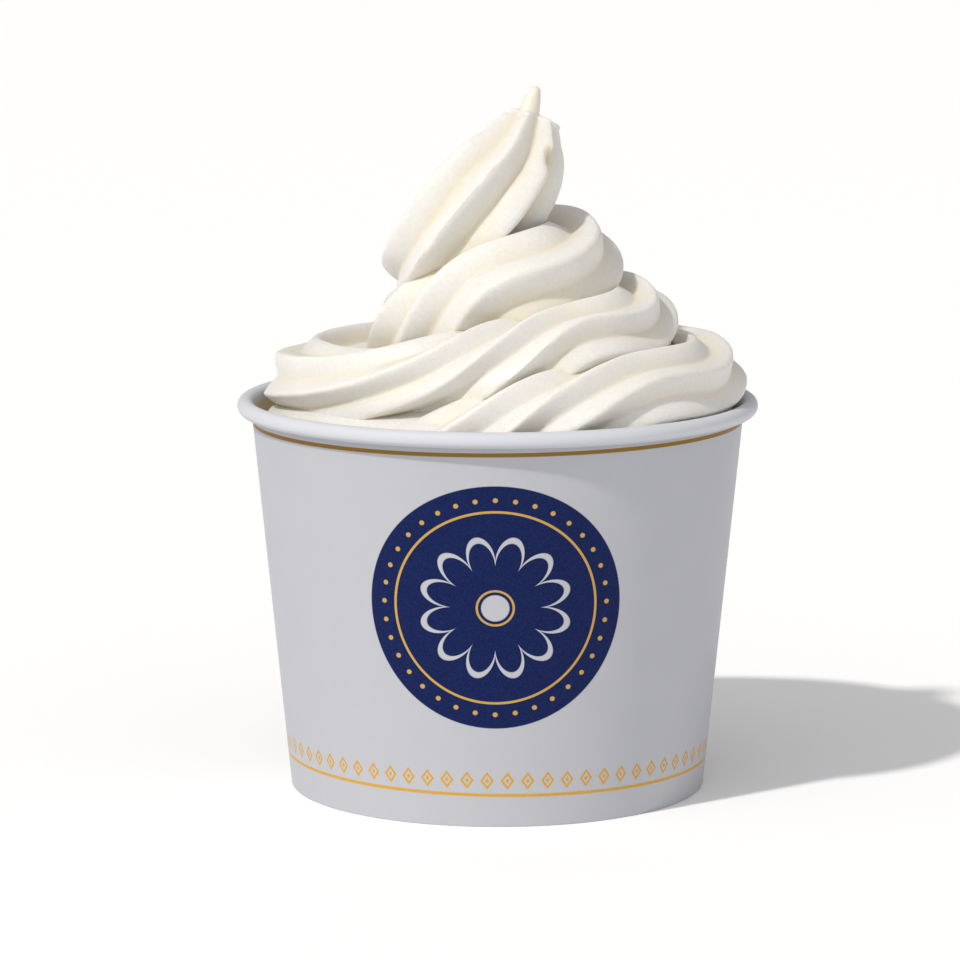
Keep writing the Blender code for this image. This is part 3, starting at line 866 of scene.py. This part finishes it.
TEAR_AT = (9.9, -9.2, 121.8)  # where a bubble opened in the peak's right side
TEAR_SIZE = (1.4, 4.0, 2.8)
TEAR_DEPTH = 1.1
TEAR_FLOOR = 0.45  # share of its size that is fully deep
RIPPLE_SIZE = 9.0
RIPPLE_DEPTH = 0.35
HOLLOW_SPREAD = 40  # rounds of blurring
HOLLOW_DEPTH = 1.6
YOGURT_SMOOTH_UNDER = math.radians(60)

tree, keys = skin_tree()
skin_values = {
    keys["Ripple Size"]: RIPPLE_SIZE * MM,
    keys["Ripple Depth"]: RIPPLE_DEPTH * MM,
    keys["Hollow Spread"]: HOLLOW_SPREAD,
    keys["Hollow Depth"]: HOLLOW_DEPTH * MM,
    keys["Tear Place"]: [c * MM for c in TEAR_AT],
    keys["Tear Size"]: [c * MM for c in TEAR_SIZE],
    keys["Tear Depth"]: TEAR_DEPTH * MM,
    keys["Material"]: yogurt,
}
fused_object = bpy.data.objects.new("fused", fused)
bpy.context.scene.collection.objects.link(fused_object)
skin = made_by_tree(fused_object, tree, skin_values)
bpy.data.objects.remove(fused_object)
skin.shade_smooth()
skin.set_sharp_from_angle(angle=YOGURT_SMOOTH_UNDER)
mesh_piece("yogurt_swirl", skin, yogurt, "frozen_yogurt")

# Table, light and camera
# A pale table top that runs on past the view, the sun halfway up at the front left, and the light of a bright
# room, which is stronger from the side behind the camera.

FLOOR_WIDTH = 14.0  # metres, as are the distances below
FLOOR_WHITE = (0.97, 0.98, 0.99, 1)
floor_mesh = bpy.data.meshes.new("floor")
half = FLOOR_WIDTH / 2
floor_corners = [(-half, -half, 0), (half, -half, 0), (half, half, 0), (-half, half, 0)]
floor_mesh.from_pydata(floor_corners, [], [(0, 1, 2, 3)])
floor = bpy.data.objects.new("floor", floor_mesh)
bpy.context.scene.collection.objects.link(floor)
floor_finish, surface, wire = shader("pale floor", Base_Color=FLOOR_WHITE, Roughness=0.9)
floor_mesh.materials.append(floor_finish)

SUN_AZIMUTH = math.radians(-46)
SUN_ELEVATION = math.radians(47)
SUN_STRENGTH = 2.2
SUN_WIDTH = math.radians(3)
SUN_COLOUR = (1.0, 0.97, 0.92)
sun = bpy.data.lights.new("sun", "SUN")
sun.energy = SUN_STRENGTH
sun.angle = SUN_WIDTH
sun.color = SUN_COLOUR
sun_object = bpy.data.objects.new("sun", sun)
towards = Vector((
    math.sin(SUN_AZIMUTH) * math.cos(SUN_ELEVATION),
    -math.cos(SUN_AZIMUTH) * math.cos(SUN_ELEVATION),
    math.sin(SUN_ELEVATION),
))
sun_object.rotation_mode = "QUATERNION"
sun_object.rotation_quaternion = towards.to_track_quat("Z", "Y")
bpy.context.scene.collection.objects.link(sun_object)

ROOM_COLOUR = (0.985, 0.965, 0.965, 1)
ROOM_FRONT, ROOM_BACK = 0.84, 0.3
world = bpy.data.worlds.new("room")
world.use_nodes = True
room = world.node_tree.nodes["Background"]
room.inputs["Color"].default_value = ROOM_COLOUR
wire = Wire(world.node_tree)
heading = wire.node("ShaderNodeTexCoord", output=0)
behind = wire.node("ShaderNodeSeparateXYZ", {0: heading}, output=1)
wire.tree.links.new(behind.clip(-1.0, 1.0, ROOM_FRONT, ROOM_BACK).socket, room.inputs["Strength"])
bpy.context.scene.world = world
bpy.context.scene.view_settings.view_transform = "Standard"

CAMERA_DISTANCE = 0.85
CAMERA_ELEVATION = math.radians(8.73)
IMAGE_SIZE = 960
FOCAL_PIXELS = 4413.7
AXIS_PIXEL = (497.51, 449.04)  # where the target falls in the picture
SENSOR = 36.0  # millimetres
TARGET_HEIGHT = 0.065
target = Vector((0, 0, TARGET_HEIGHT))
backward = Vector((0, -math.cos(CAMERA_ELEVATION), math.sin(CAMERA_ELEVATION)))
upward = Vector((0, math.sin(CAMERA_ELEVATION), math.cos(CAMERA_ELEVATION)))
per_pixel = CAMERA_DISTANCE / FOCAL_PIXELS
middle = IMAGE_SIZE / 2
aim = target + Vector((1, 0, 0)) * (middle - AXIS_PIXEL[0]) * per_pixel
aim += upward * (AXIS_PIXEL[1] - middle) * per_pixel
camera = bpy.data.cameras.new("camera")
camera.sensor_width = SENSOR
camera.lens = FOCAL_PIXELS / IMAGE_SIZE * SENSOR
camera_object = bpy.data.objects.new("camera", camera)
camera_object.location = target + backward * CAMERA_DISTANCE
camera_object.rotation_mode = "QUATERNION"
camera_object.rotation_quaternion = (aim - camera_object.location).to_track_quat("-Z", "Y")
bpy.context.scene.collection.objects.link(camera_object)
bpy.context.scene.camera = camera_object
